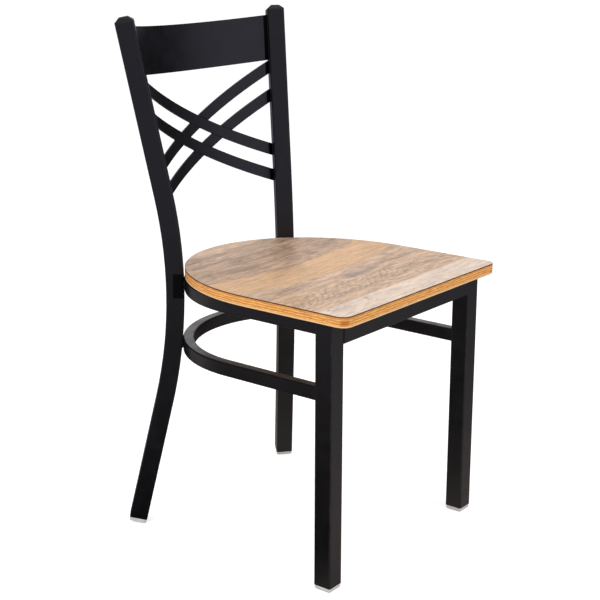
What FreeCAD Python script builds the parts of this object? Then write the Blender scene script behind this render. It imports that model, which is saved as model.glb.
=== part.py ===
import FreeCAD, Part
import math
import os
import Sketcher

# Cross back chair: bent steel tube frame, plywood seat, black plastic end caps, grey glides.
# Millimetres and degrees. Z is up, Y runs from the front edge of the seat to the back.
# The origin is on the floor, midway between front and back, on the plane of symmetry.

doc = FreeCAD.newDocument("cross_back_chair")
sheet = doc.addObject("Spreadsheet::Sheet", "Sizes")

driving = {
    # square tube of the rear uprights and the slightly larger one of the front legs
    "tube_side": 30,
    "leg_side": 31.2,
    "tube_wall": 1.5,
    "tube_corner": 3,
    "leg_half_spacing": 188.5,
    # rectangular tube of both hoops and of the front rail
    "hoop_width": 18,
    "hoop_height": 22.3,
    "hoop_corner": 2.5,
    "thin_wall": 1.2,
    "rail_height": 36.5,
    "rail_depth": 20,
    "stretcher_level": 304.3,
    "straight_run": 195.1,
    # rear uprights: one long arc with straight ends, in a vertical plane turned outward
    "turn": 42.5,
    "bend_radius": 815,
    "bend_level": 407.4,
    "upper_bend": 11.1,
    "lower_bend": 13.3,
    "lean": 1.0,
    "upright_top": 838.9,
    "weld_gap": 0.05,
    # seat: straight sides, elliptical back, small front corners
    "seat_height": 447,
    "board_thickness": 16.6,
    "laminate_thickness": 0.8,
    "seat_half_width": 211,
    "seat_front": 45.2,
    "seat_side_end": 149.4,
    "seat_back_reach": 244.8,
    "seat_corner": 17,
    "board_edge": 1.2,
    "laminate_edge": 0.4,
    # curved plates of the back, rolled round an axis that leans back
    "back_radius": 339,
    "back_tilt": 10.6,
    "back_recess": 7.6,
    "plate_thickness": 3,
    "top_rail_level": 786,
    "top_rail_height": 77.8,
    "lattice_drop": 149.7,
    "slat_spacing": 47,
    "slat_width": 19,
    "slat_slope": 25.5,
    # glides and caps
    "glide_height": 7,
    "glide_inset": 0.75,
    "glide_edge": 1.5,
    "cap_height": 9,
    "cap_shoulder": 2,
    "cap_slope": 8,
    "cap_edge": 1,
    "plug_length": 18,
    "plug_clearance": 0.2,
    "plug_wall": 2.2,
    # seat tabs and screws
    "tab_length": 28,
    "tab_width": 24,
    "tab_thickness": 3,
    "tab_front": 55,
    "tab_pitch": 112,
    "screw_size": 4.2,
    "screw_head": 9,
    "screw_head_height": 2.6,
    "screw_bite": 12,
    "hole_clearance": 0.6,
    "pilot_clearance": 0.1,
}

derived = {
    "half_tube": "=tube_side / 2",
    "half_leg": "=leg_side / 2",
    "frame_top": "=seat_height - laminate_thickness - board_thickness",
    "leg_length": "=frame_top - glide_height",
    "hoop_reach": "=leg_half_spacing + hoop_width / 2",
    # upright centre at the bend level, measured from the line of the front legs
    "upright_x": "=(hoop_reach + half_tube + weld_gap) * sin(turn)",
    "upright_run": "=straight_run + (hoop_reach + half_tube + weld_gap) * cos(turn)",
    "upper_rise": "=(upright_top - bend_level) / cos(lean)",
    "upper_length": "=(upper_rise - bend_radius * sin(upper_bend)) / cos(upper_bend)",
    "half_glide": "=half_tube - glide_inset",
    "foot_sole": "=(half_glide - glide_edge) * (sin(lower_bend) + sin(lean))",
    "foot_level": "=foot_sole + glide_height * cos(lower_bend)",
    "lower_drop": "=(bend_level - foot_level) / cos(lean)",
    "lower_length": "=(lower_drop - bend_radius * sin(lower_bend)) / cos(lower_bend)",
    # the stretcher touches the uprights lower down, where they already curve back
    "contact_drop": "=bend_level - stretcher_level - hoop_height + hoop_corner",
    "contact_sag": "=bend_radius + half_tube - sqrt((bend_radius + half_tube)^2 - contact_drop^2)",
    "stretcher_run": "=straight_run + contact_sag / cos(turn)",
    # where the front face of the back plates meets the inner face of an upright
    "rail_rise": "=top_rail_level - bend_level",
    "knee_swing": "=bend_radius * (1 - cos(upper_bend))",
    "rail_swing": "=knee_swing + (rail_rise - bend_radius * sin(upper_bend)) * tan(upper_bend)",
    "meet_depth": "=rail_swing + back_recess - half_tube",
    "meet_side": "=rail_rise * tan(lean) + half_tube",
    "meet_x": "=upright_x + meet_depth * sin(turn) - meet_side * cos(turn)",
    "meet_run": "=upright_run + meet_depth * cos(turn) + meet_side * sin(turn)",
    "back_run": "=meet_run + (back_radius - sqrt(back_radius^2 - meet_x^2)) / cos(back_tilt)",
    # the deepest point is the rear top edge of the top rail; the origin is halfway to the seat front
    "rear_reach": "=back_run + top_rail_height / 2 * sin(back_tilt) + plate_thickness * cos(back_tilt)",
    "leg_line": "=(seat_front - rear_reach) / 2",
    "upright_y": "=leg_line + upright_run",
    "back_line": "=leg_line + back_run",
    "slat_offset": "=slat_spacing / 2 * cos(slat_slope)",
    "slat_gap": "=2 * slat_offset - slat_width",
    "tool_size": "=4 * seat_half_width",
    "tool_depth": "=back_radius / 2",
}

row = 0
for alias, value in {**driving, **derived}.items():
    row += 1
    sheet.set(f"A{row}", alias)
    sheet.set(f"B{row}", str(value))
    sheet.setAlias(f"B{row}", alias)
doc.recompute()


def size(alias):
    return float(sheet.get(alias))


def vector(x, y):
    return FreeCAD.Vector(x, y, 0)


def new_body(label, placement):
    body = doc.addObject("PartDesign::Body", label)
    body.Label = label
    body.setExpression("Placement", placement)
    return body


def new_sketch(body, suffix, role):
    plane = [item for item in body.Origin.OriginFeatures if item.Role == role][0]
    sketch = body.newObject("Sketcher::SketchObject", f"{body.Name}_{suffix}")
    sketch.AttachmentSupport = (plane, "")
    sketch.MapMode = "FlatFace"
    return sketch


def bind(sketch, name, expression, *terms):
    index = sketch.addConstraint(Sketcher.Constraint(*terms))
    sketch.renameConstraint(index, name)
    sketch.setExpression(f"Constraints.{name}", expression)


def rounded_rectangle(sketch, name, width, height, radius, start):
    """Closed outline of four lines and four corner arcs, centred on the sketch origin."""
    half_w, half_h, corner = start
    x = half_w - corner
    y = half_h - corner
    first = sketch.GeometryCount
    ends = [
        (vector(-x, -half_h), vector(x, -half_h)),
        (vector(half_w, -y), vector(half_w, y)),
        (vector(x, half_h), vector(-x, half_h)),
        (vector(-half_w, y), vector(-half_w, -y)),
    ]
    for begin, end in ends:
        sketch.addGeometry(Part.LineSegment(begin, end))
    for turn, centre in enumerate(((x, -y), (x, y), (-x, y), (-x, -y))):
        circle = Part.Circle(vector(*centre), FreeCAD.Vector(0, 0, 1), corner)
        angle = (turn - 1) * math.pi / 2
        sketch.addGeometry(Part.ArcOfCircle(circle, angle, angle + math.pi / 2))
    for side in range(4):
        line = first + side
        arc = first + 4 + side
        sketch.addConstraint(Sketcher.Constraint("Tangent", line, 2, arc, 1))
        sketch.addConstraint(Sketcher.Constraint("Tangent", arc, 2, first + (side + 1) % 4, 1))
        if side:
            sketch.addConstraint(Sketcher.Constraint("Equal", first + 4, arc))
    for side, kind in enumerate(("Horizontal", "Vertical", "Horizontal", "Vertical")):
        sketch.addConstraint(Sketcher.Constraint(kind, first + side))
    sketch.addConstraint(Sketcher.Constraint("Symmetric", first + 4, 3, first + 6, 3, -1, 1))
    bind(sketch, f"{name}_width", width, "DistanceX", first + 3, 1, first + 1, 1, 2 * half_w)
    bind(sketch, f"{name}_height", height, "DistanceY", first, 1, first + 2, 1, 2 * half_h)
    bind(sketch, f"{name}_corner", radius, "Radius", first + 4, corner)


def plain_rectangle(sketch, name, width, height, start):
    """Closed outline of four lines, centred on the sketch origin."""
    x, y = start
    first = sketch.GeometryCount
    spots = (vector(-x, -y), vector(x, -y), vector(x, y), vector(-x, y))
    for side in range(4):
        sketch.addGeometry(Part.LineSegment(spots[side], spots[(side + 1) % 4]))
    for side, kind in enumerate(("Horizontal", "Vertical", "Horizontal", "Vertical")):
        following = first + (side + 1) % 4
        sketch.addConstraint(Sketcher.Constraint("Coincident", first + side, 2, following, 1))
        sketch.addConstraint(Sketcher.Constraint(kind, first + side))
    sketch.addConstraint(Sketcher.Constraint("Symmetric", first, 1, first + 2, 1, -1, 1))
    bind(sketch, f"{name}_width", width, "DistanceX", first, 1, first, 2, 2 * x)
    bind(sketch, f"{name}_height", height, "DistanceY", first + 1, 1, first + 1, 2, 2 * y)


def tube_section(sketch, width, height, corner, wall, start):
    """Hollow section, square inside; each size is an alias, start holds their values."""
    half_w, half_h, radius, thickness = start
    rounded_rectangle(sketch, "outer", width, height, corner, (half_w, half_h, radius))
    inner = (half_w - thickness, half_h - thickness)
    plain_rectangle(sketch, "inner", f"{width} - 2 * {wall}", f"{height} - 2 * {wall}", inner)


def square_section(sketch, side):
    start = (size(side) / 2, size(side) / 2, size("tube_corner"), size("tube_wall"))
    tube_section(
        sketch, f"Sizes.{side}", f"Sizes.{side}", "Sizes.tube_corner", "Sizes.tube_wall", start
    )


def hoop_section(sketch):
    start = (size("hoop_width") / 2, size("hoop_height") / 2, size("hoop_corner"), size("thin_wall"))
    names = ("Sizes.hoop_width", "Sizes.hoop_height", "Sizes.hoop_corner", "Sizes.thin_wall")
    tube_section(sketch, *names, start)


def pad(body, sketch, length, reversed_side=False):
    feature = body.newObject("PartDesign::Pad", f"{sketch.Name}_pad")
    feature.Profile = sketch
    feature.Reversed = reversed_side
    feature.setExpression("Length", length)
    return feature


def pocket(body, sketch, length):
    feature = body.newObject("PartDesign::Pocket", f"{sketch.Name}_pocket")
    feature.Profile = sketch
    feature.Reversed = True
    feature.setExpression("Length", length)
    return feature


def pipe(body, profile, path):
    feature = body.newObject("PartDesign::AdditivePipe", f"{path.Name}_pipe")
    feature.Profile = profile
    feature.Spine = (path, [])
    return feature


def dress(body, kind, name, feature, edges, prop, expression):
    finish = body.newObject(f"PartDesign::{kind}", f"{body.Name}_{name}")
    finish.Base = (feature, edges)
    finish.setExpression(prop, expression)
    return finish


def edges_at(feature, level):
    """Names of the edges that lie wholly at one height of the body's own frame."""
    doc.recompute()
    names = []
    for index, edge in enumerate(feature.Shape.Edges):
        box = edge.BoundBox
        if abs(box.ZMin - level) < 1e-3 and abs(box.ZMax - level) < 1e-3:
            names.append(f"Edge{index + 1}")
    return names


pieces = {}

# Front legs: plain square tube from the glide to the underside of the seat.
for side, sign in (("left", "-"), ("right", "")):
    label = f"front_leg_{side}"
    spot = f"vector({sign}Sizes.leg_half_spacing; Sizes.leg_line; Sizes.glide_height)"
    leg = new_body(label, f"placement({spot}; rotationz(0))")
    section = new_sketch(leg, "section", "XY_Plane")
    square_section(section, "leg_side")
    pad(leg, section, "Sizes.leg_length")
    pieces[label] = leg


# Rear uprights. The local X axis points outward and back, Z runs along the tube at the bend level.
def upright_path(body, suffix, way, bend, length):
    """Arc away from the origin, curving toward +X, with a straight end; way is 1 up or -1 down."""
    sketch = new_sketch(body, suffix, "XZ_Plane")
    radius = size("bend_radius")
    angle = math.radians(size(bend))
    end = size(length)
    centre = vector(radius, 0)
    circle = Part.Circle(centre, FreeCAD.Vector(0, 0, 1), radius)
    knee = vector(radius * (1 - math.cos(angle)), way * radius * math.sin(angle))
    tip = knee + vector(end * math.sin(angle), way * end * math.cos(angle))
    if way > 0:
        arc = sketch.addGeometry(Part.ArcOfCircle(circle, math.pi - angle, math.pi))
        at_origin, at_knee = 2, 1
    else:
        arc = sketch.addGeometry(Part.ArcOfCircle(circle, math.pi, math.pi + angle))
        at_origin, at_knee = 1, 2
    line = sketch.addGeometry(Part.LineSegment(knee, tip))
    sketch.addConstraint(Sketcher.Constraint("Coincident", arc, at_origin, -1, 1))
    sketch.addConstraint(Sketcher.Constraint("PointOnObject", arc, 3, -1))
    sketch.addConstraint(Sketcher.Constraint("Tangent", line, 1, arc, at_knee))
    bind(sketch, "radius", "Sizes.bend_radius", "Radius", arc, radius)
    bind(sketch, "length", f"Sizes.{length}", "Distance", line, end)
    slope = way * (math.pi / 2 - angle)
    bind(sketch, "slope", f"({90 * way} - {way} * Sizes.{bend}) * 1 deg", "Angle", line, slope)
    return sketch


UPRIGHT = {}
for side, sign, yaw, roll in (
    ("left", "-", "90 + Sizes.turn", "Sizes.lean"),
    ("right", "", "90 - Sizes.turn", "-Sizes.lean"),
):
    label = f"rear_upright_{side}"
    spot = f"vector({sign}Sizes.upright_x; Sizes.upright_y; Sizes.bend_level)"
    UPRIGHT[side] = f"placement({spot}; rotationz({yaw}) * rotationx({roll}))"
    upright = new_body(label, UPRIGHT[side])
    section = new_sketch(upright, "section", "XY_Plane")
    square_section(section, "tube_side")
    upper = upright_path(upright, "upper", 1, "upper_bend", "upper_length")
    lower = upright_path(upright, "lower", -1, "lower_bend", "lower_length")
    pipe(upright, section, upper)
    pipe(upright, section, lower)
    pieces[label] = upright


# Hoops: the tube starts on the back face of the right leg and ends on the left leg.
def hoop(label, level, run):
    height = f"{level} + Sizes.hoop_height / 2"
    spot = f"vector(Sizes.leg_half_spacing; Sizes.leg_line + Sizes.half_leg; {height})"
    body = new_body(label, f"placement({spot}; rotationz(0))")
    section = new_sketch(body, "section", "XZ_Plane")
    hoop_section(section)
    path = new_sketch(body, "path", "XY_Plane")
    radius = size("leg_half_spacing")
    straight = size(run) - size("half_leg")
    up = path.addGeometry(Part.LineSegment(vector(0, 0), vector(0, straight)))
    circle = Part.Circle(vector(-radius, straight), FreeCAD.Vector(0, 0, 1), radius)
    arc = path.addGeometry(Part.ArcOfCircle(circle, 0, math.pi))
    down = path.addGeometry(Part.LineSegment(vector(-2 * radius, straight), vector(-2 * radius, 0)))
    path.addConstraint(Sketcher.Constraint("Coincident", up, 1, -1, 1))
    path.addConstraint(Sketcher.Constraint("Vertical", up))
    path.addConstraint(Sketcher.Constraint("Vertical", down))
    path.addConstraint(Sketcher.Constraint("Tangent", up, 2, arc, 1))
    path.addConstraint(Sketcher.Constraint("Tangent", arc, 2, down, 1))
    path.addConstraint(Sketcher.Constraint("PointOnObject", down, 2, -1))
    bind(path, "radius", "Sizes.leg_half_spacing", "Radius", arc, radius)
    bind(path, "straight", f"Sizes.{run} - Sizes.half_leg", "Distance", up, straight)
    pipe(body, section, path)
    pieces[label] = body


hoop("seat_frame_hoop", "Sizes.frame_top - Sizes.hoop_height", "straight_run")
hoop("stretcher_hoop", "Sizes.stretcher_level", "stretcher_run")

# Front rail between the legs, flush with their front faces and with the top of the frame.
spot = (
    "vector(-Sizes.leg_half_spacing + Sizes.half_leg; "
    "Sizes.leg_line - Sizes.half_leg + Sizes.rail_depth / 2; Sizes.frame_top - Sizes.rail_height / 2)"
)
rail = new_body("front_rail", f"placement({spot}; rotationz(0))")
section = new_sketch(rail, "section", "YZ_Plane")
start = (size("rail_depth") / 2, size("rail_height") / 2, size("hoop_corner"), size("thin_wall"))
names = ("Sizes.rail_depth", "Sizes.rail_height", "Sizes.hoop_corner", "Sizes.thin_wall")
tube_section(section, *names, start)
pad(rail, section, "2 * Sizes.leg_half_spacing - Sizes.leg_side")
pieces["front_rail"] = rail


# Curved plates of the back. One thin cylinder wall is cut off at the inner faces of the uprights.
def box(name, placement, length, width, height):
    solid = doc.addObject("Part::Box", name)
    solid.setExpression("Length", length)
    solid.setExpression("Width", width)
    solid.setExpression("Height", height)
    solid.setExpression("Placement", placement)
    return solid


def boolean(kind, name, base, tool):
    result = doc.addObject(f"Part::{kind}", name)
    result.Base = base
    result.Tool = tool
    return result


BACK = "placement(vector(0; Sizes.back_line; Sizes.top_rail_level); rotationx(-Sizes.back_tilt))"
AXIS = f"{BACK} * placement(vector(0; -Sizes.back_radius; -Sizes.tool_size / 2); rotationz(45))"


def back_cylinder(name, radius):
    solid = doc.addObject("Part::Cylinder", name)
    solid.setExpression("Radius", radius)
    solid.setExpression("Height", "Sizes.tool_size")
    solid.setExpression("Placement", AXIS)
    solid.Angle = 90
    return solid


shell_outer = back_cylinder("shell_outer", "Sizes.back_radius + Sizes.plate_thickness")
shell_inner = back_cylinder("shell_inner", "Sizes.back_radius")
shell = boolean("Cut", "shell", shell_outer, shell_inner)
for side, base_y in (("left", "-Sizes.half_tube - Sizes.tool_size"), ("right", "Sizes.half_tube")):
    corner = f"placement(vector(-Sizes.tool_size; {base_y}; -Sizes.tool_size); rotationz(0))"
    wide = "2 * Sizes.tool_size"
    span = box(f"span_{side}", f"{UPRIGHT[side]} * {corner}", wide, "Sizes.tool_size", wide)
    shell = boolean("Common", f"shell_{side}", shell, span)


def band(name, frame, low, height):
    """Flat slice of space in front of and behind the back plates, between two parallel planes."""
    corner = f"placement(vector(-Sizes.tool_size / 2; -Sizes.tool_depth; {low}); rotationz(0))"
    return box(name, f"{frame} * {corner}", "Sizes.tool_size", "2 * Sizes.tool_depth", height)


rail_band = band("top_rail_band", BACK, "-Sizes.top_rail_height / 2", "Sizes.top_rail_height")
top_rail = boolean("Common", "top_rail", shell, rail_band)
pieces["top_rail"] = top_rail

RISING = f"{BACK} * placement(vector(0; 0; -Sizes.lattice_drop); rotationy(-Sizes.slat_slope))"
FALLING = f"{BACK} * placement(vector(0; 0; -Sizes.lattice_drop); rotationy(Sizes.slat_slope))"


def slat(label, frame, offset, keep=None):
    """Flat bar along one band, cut off at the top rail; keep limits it to one side of other bars."""
    strip = band(f"{label}_band", frame, f"{offset} - Sizes.slat_width / 2", "Sizes.slat_width")
    blank = boolean("Common", f"{label}_blank", shell, strip)
    if keep:
        blank = boolean("Common", f"{label}_length", blank, keep)
    pieces[label] = boolean("Cut", label, blank, top_rail)


offsets = {"upper": "Sizes.slat_offset", "lower": "-Sizes.slat_offset"}
for which, offset in offsets.items():
    slat(f"falling_slat_{which}", FALLING, offset)

# The rising bars are in three pieces each, butted against the edges of the falling bars.
above = "Sizes.slat_offset + Sizes.slat_width / 2"
between = "-Sizes.slat_gap / 2"
below = "-Sizes.slat_offset - Sizes.slat_width / 2 - Sizes.tool_size"
regions = {
    "left": band("region_below", FALLING, below, "Sizes.tool_size"),
    "middle": band("region_between", FALLING, between, "Sizes.slat_gap"),
    "right": band("region_above", FALLING, above, "Sizes.tool_size"),
}
for which, offset in offsets.items():
    for part_of, region in regions.items():
        slat(f"rising_slat_{which}_{part_of}", RISING, offset, region)


# Seat board and laminate share one outline.
def seat_outline(sketch):
    half = size("seat_half_width")
    front = -size("seat_front")
    corner = size("seat_corner")
    side_end = size("seat_side_end")
    reach = size("seat_back_reach")
    axis = FreeCAD.Vector(0, 0, 1)
    edge = sketch.addGeometry(Part.LineSegment(vector(corner - half, front), vector(half - corner, front)))
    circle = Part.Circle(vector(half - corner, front + corner), axis, corner)
    right_corner = sketch.addGeometry(Part.ArcOfCircle(circle, -math.pi / 2, 0))
    right = sketch.addGeometry(Part.LineSegment(vector(half, front + corner), vector(half, side_end)))
    oval = Part.Ellipse(vector(0, side_end + reach), vector(-half, side_end), vector(0, side_end))
    back = sketch.addGeometry(Part.ArcOfEllipse(oval, -math.pi / 2, math.pi / 2))
    left = sketch.addGeometry(Part.LineSegment(vector(-half, side_end), vector(-half, front + corner)))
    circle = Part.Circle(vector(corner - half, front + corner), axis, corner)
    left_corner = sketch.addGeometry(Part.ArcOfCircle(circle, math.pi, 3 * math.pi / 2))
    count = sketch.GeometryCount
    sketch.exposeInternalGeometry(back)
    major, minor = count, count + 1
    sketch.addConstraint(Sketcher.Constraint("Tangent", edge, 2, right_corner, 1))
    sketch.addConstraint(Sketcher.Constraint("Tangent", right_corner, 2, right, 1))
    sketch.addConstraint(Sketcher.Constraint("Tangent", left, 2, left_corner, 1))
    sketch.addConstraint(Sketcher.Constraint("Tangent", left_corner, 2, edge, 1))
    sketch.addConstraint(Sketcher.Constraint("Coincident", right, 2, back, 1))
    sketch.addConstraint(Sketcher.Constraint("Coincident", back, 2, left, 1))
    sketch.addConstraint(Sketcher.Constraint("Horizontal", edge))
    sketch.addConstraint(Sketcher.Constraint("Vertical", right))
    sketch.addConstraint(Sketcher.Constraint("Vertical", left))
    sketch.addConstraint(Sketcher.Constraint("Equal", right_corner, left_corner))
    sketch.addConstraint(Sketcher.Constraint("PointOnObject", back, 3, -2))
    sketch.addConstraint(Sketcher.Constraint("Vertical", major))
    sketch.addConstraint(Sketcher.Constraint("Horizontal", back, 1, back, 3))
    sketch.addConstraint(Sketcher.Constraint("Horizontal", back, 2, back, 3))
    bind(sketch, "corner", "Sizes.seat_corner", "Radius", right_corner, corner)
    bind(sketch, "reach", "2 * Sizes.seat_back_reach", "Distance", major, 2 * reach)
    bind(sketch, "width", "2 * Sizes.seat_half_width", "Distance", minor, 2 * half)
    bind(sketch, "side_end", "Sizes.seat_side_end", "DistanceY", -1, 1, back, 3, side_end)
    bind(sketch, "front", "Sizes.seat_front", "DistanceY", edge, 1, -1, 1, -front)


screw_places = []
for sign, side in ((-1, "left"), (1, "right")):
    for index, place in enumerate(("front", "rear")):
        screw_places.append((sign, side, index, place))

board = new_body("seat_board", "placement(vector(0; Sizes.leg_line; Sizes.frame_top); rotationz(0))")
outline = new_sketch(board, "outline", "XY_Plane")
seat_outline(outline)
solid = pad(board, outline, "Sizes.board_thickness")
lower_edges = edges_at(solid, 0)
dress(board, "Chamfer", "edge", solid, lower_edges, "Size", "Sizes.board_edge")
pilots = new_sketch(board, "pilots", "XY_Plane")
tab_x = size("hoop_reach") - size("hoop_width") - size("tab_length") / 2
for sign, side, index, place in screw_places:
    tab_y = size("tab_front") + index * size("tab_pitch")
    radius = (size("screw_size") + size("pilot_clearance")) / 2
    hole = pilots.addGeometry(Part.Circle(vector(sign * tab_x, tab_y), FreeCAD.Vector(0, 0, 1), radius))
    bind(
        pilots, f"size_{side}_{place}", "(Sizes.screw_size + Sizes.pilot_clearance) / 2",
        "Radius", hole, radius,
    )
    ends = (-1, 1, hole, 3) if sign > 0 else (hole, 3, -1, 1)
    reach = "Sizes.hoop_reach - Sizes.hoop_width - Sizes.tab_length / 2"
    bind(pilots, f"x_{side}_{place}", reach, "DistanceX", *ends, tab_x)
    run = f"Sizes.tab_front + {index} * Sizes.tab_pitch"
    bind(pilots, f"y_{side}_{place}", run, "DistanceY", -1, 1, hole, 3, tab_y)
doc.recompute()
full_board = board.Shape.Volume
pocket(board, pilots, "Sizes.screw_bite + 0.5")
doc.recompute()
pilot_volume = full_board - board.Shape.Volume
pieces["seat_board"] = board

spot = "vector(0; Sizes.leg_line; Sizes.seat_height - Sizes.laminate_thickness)"
laminate = new_body("seat_laminate", f"placement({spot}; rotationz(0))")
outline = new_sketch(laminate, "outline", "XY_Plane")
seat_outline(outline)
solid = pad(laminate, outline, "Sizes.laminate_thickness")
upper_edges = edges_at(solid, size("laminate_thickness"))
dress(laminate, "Chamfer", "edge", solid, upper_edges, "Size", "Sizes.laminate_edge")
pieces["seat_laminate"] = laminate


# Glides: a chamfered square sole below the tube and a hollow plug inside it.
def plug(body, side, down):
    sketch = new_sketch(body, "plug", "XY_Plane")
    half = size(side) / 2 - size("tube_wall") - size("plug_clearance")
    start = (half, half, size("tube_corner"), size("plug_wall"))
    width = f"Sizes.{side} - 2 * Sizes.tube_wall - 2 * Sizes.plug_clearance"
    tube_section(sketch, width, width, "Sizes.tube_corner", "Sizes.plug_wall", start)
    pad(body, sketch, "Sizes.plug_length", down)


def glide(label, side, placement):
    body = new_body(label, placement)
    sole = new_sketch(body, "sole", "XY_Plane")
    half = size(side) / 2 - size("glide_inset")
    width = f"Sizes.{side} - 2 * Sizes.glide_inset"
    rounded_rectangle(sole, "outer", width, width, "Sizes.tube_corner", (half, half, size("tube_corner")))
    solid = pad(body, sole, "Sizes.glide_height", True)
    bottom_edges = edges_at(solid, -size("glide_height"))
    dress(body, "Chamfer", "edge", solid, bottom_edges, "Size", "Sizes.glide_edge")
    plug(body, side, False)
    pieces[label] = body


def cap_wedge(sketch, name, sign):
    """Triangle between one side of the cap, its top and the slope; sign picks the side."""
    side = sign * size("half_tube")
    inner = side - sign * size("cap_slope")
    low = size("cap_shoulder")
    top = size("cap_height")
    spots = (vector(side, low), vector(side, top), vector(inner, top))
    first = sketch.GeometryCount
    for step in range(3):
        sketch.addGeometry(Part.LineSegment(spots[step], spots[(step + 1) % 3]))
    for step in range(3):
        following = first + (step + 1) % 3
        sketch.addConstraint(Sketcher.Constraint("Coincident", first + step, 2, following, 1))
    sketch.addConstraint(Sketcher.Constraint("Vertical", first))
    sketch.addConstraint(Sketcher.Constraint("Horizontal", first + 1))
    reach = (-1, 1, first, 1) if sign > 0 else (first, 1, -1, 1)
    depth = (first + 1, 2, first + 1, 1) if sign > 0 else (first + 1, 1, first + 1, 2)
    bind(sketch, f"{name}_side", "Sizes.half_tube", "DistanceX", *reach, abs(side))
    bind(sketch, f"{name}_slope", "Sizes.cap_slope", "DistanceX", *depth, size("cap_slope"))
    bind(sketch, f"{name}_low", "Sizes.cap_shoulder", "DistanceY", -1, 1, first, 1, low)
    bind(sketch, f"{name}_top", "Sizes.cap_height", "DistanceY", -1, 1, first, 2, top)


def cap(label, placement):
    """Square block whose upper part slopes in from four sides to a smaller flat crown."""
    body = new_body(label, placement)
    block = new_sketch(body, "block", "XY_Plane")
    half = size("half_tube")
    start = (half, half, size("tube_corner"))
    rounded_rectangle(block, "outer", "Sizes.tube_side", "Sizes.tube_side", "Sizes.tube_corner", start)
    pad(body, block, "Sizes.cap_height")
    for name, role in (("slopes_x", "XZ_Plane"), ("slopes_y", "YZ_Plane")):
        wedges = new_sketch(body, name, role)
        cap_wedge(wedges, "low", -1)
        cap_wedge(wedges, "high", 1)
        cut = body.newObject("PartDesign::Pocket", f"{wedges.Name}_pocket")
        cut.Profile = wedges
        cut.Midplane = True
        cut.setExpression("Length", "2 * Sizes.tube_side")
    crown_edges = edges_at(cut, size("cap_height"))
    dress(body, "Fillet", "edge", cut, crown_edges, "Radius", "Sizes.cap_edge")
    plug(body, "tube_side", True)
    pieces[label] = body


upper_tip = (
    "placement(vector("
    "Sizes.bend_radius * (1 - cos(Sizes.upper_bend)) + Sizes.upper_length * sin(Sizes.upper_bend); 0; "
    "Sizes.bend_radius * sin(Sizes.upper_bend) + Sizes.upper_length * cos(Sizes.upper_bend)); "
    "rotationy(Sizes.upper_bend))"
)
lower_tip = (
    "placement(vector("
    "Sizes.bend_radius * (1 - cos(Sizes.lower_bend)) + Sizes.lower_length * sin(Sizes.lower_bend); 0; "
    "-Sizes.bend_radius * sin(Sizes.lower_bend) - Sizes.lower_length * cos(Sizes.lower_bend)); "
    "rotationy(-Sizes.lower_bend))"
)
for side, sign in (("left", "-"), ("right", "")):
    spot = f"vector({sign}Sizes.leg_half_spacing; Sizes.leg_line; Sizes.glide_height)"
    glide(f"front_glide_{side}", "leg_side", f"placement({spot}; rotationz(0))")
    glide(f"rear_glide_{side}", "tube_side", f"{UPRIGHT[side]} * {lower_tip}")
    cap(f"upright_cap_{side}", f"{UPRIGHT[side]} * {upper_tip}")

# Seat tabs inside the seat frame, each with one screw up into the board.
screws = []
for sign, side, index, place in screw_places:
    mirror = "-" if sign < 0 else ""
    x = f"{mirror}(Sizes.hoop_reach - Sizes.hoop_width - Sizes.tab_length / 2)"
    y = f"Sizes.leg_line + Sizes.tab_front + {index} * Sizes.tab_pitch"
    label = f"seat_tab_{side}_{place}"
    spot = f"vector({x}; {y}; Sizes.frame_top - Sizes.tab_thickness)"
    tab = new_body(label, f"placement({spot}; rotationz(0))")
    sketch = new_sketch(tab, "outline", "XY_Plane")
    start = (size("tab_length") / 2, size("tab_width") / 2, 1)
    rounded_rectangle(sketch, "outer", "Sizes.tab_length", "Sizes.tab_width", "1", start)
    radius = (size("screw_size") + size("hole_clearance")) / 2
    hole = sketch.addGeometry(Part.Circle(vector(0, 0), FreeCAD.Vector(0, 0, 1), radius))
    sketch.addConstraint(Sketcher.Constraint("Coincident", hole, 3, -1, 1))
    bind(sketch, "hole", "(Sizes.screw_size + Sizes.hole_clearance) / 2", "Radius", hole, radius)
    pad(tab, sketch, "Sizes.tab_thickness")
    pieces[label] = tab

    name = f"screw_{side}_{place}"
    low = "Sizes.frame_top - Sizes.tab_thickness"
    head = doc.addObject("Part::Cone", f"{name}_head")
    head.setExpression("Radius1", "Sizes.screw_head / 2 - 1")
    head.setExpression("Radius2", "Sizes.screw_head / 2")
    head.setExpression("Height", "Sizes.screw_head_height")
    spot = f"vector({x}; {y}; {low} - Sizes.screw_head_height)"
    head.setExpression("Placement", f"placement({spot}; rotationz(0))")
    shank = doc.addObject("Part::Cylinder", f"{name}_shank")
    shank.setExpression("Radius", "Sizes.screw_size / 2")
    shank.setExpression("Height", "Sizes.tab_thickness + Sizes.screw_bite")
    shank.setExpression("Placement", f"placement(vector({x}; {y}; {low}); rotationz(0))")
    screws.append(boolean("Fuse", name, head, shank))

group = doc.addObject("Part::Compound", "seat_screws")
group.Links = screws
pieces["seat_screws"] = group

doc.recompute()
for label, piece in pieces.items():
    piece.Label = label

wrong = []
for item in doc.Objects:
    if "Invalid" in item.State or "Error" in item.State:
        wrong.append(f"{item.Name} {item.State}")
for label, piece in pieces.items():
    shape = piece.Shape
    if shape.isNull() or not shape.isValid() or not shape.Solids:
        wrong.append(f"{label} has no valid solid")
if pilot_volume < 100:
    wrong.append("the pilot holes took nothing from the board")
if wrong:
    raise RuntimeError("; ".join(wrong))

os.makedirs("parts", exist_ok=True)
for label, piece in pieces.items():
    piece.Shape.exportStep(f"parts/{label}.step")
    print(label, len(piece.Shape.Solids), round(piece.Shape.Volume), piece.Shape.BoundBox)
print("pieces", len(pieces))
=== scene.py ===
import bpy
import bmesh
import math
from mathutils import Matrix, Vector


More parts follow.
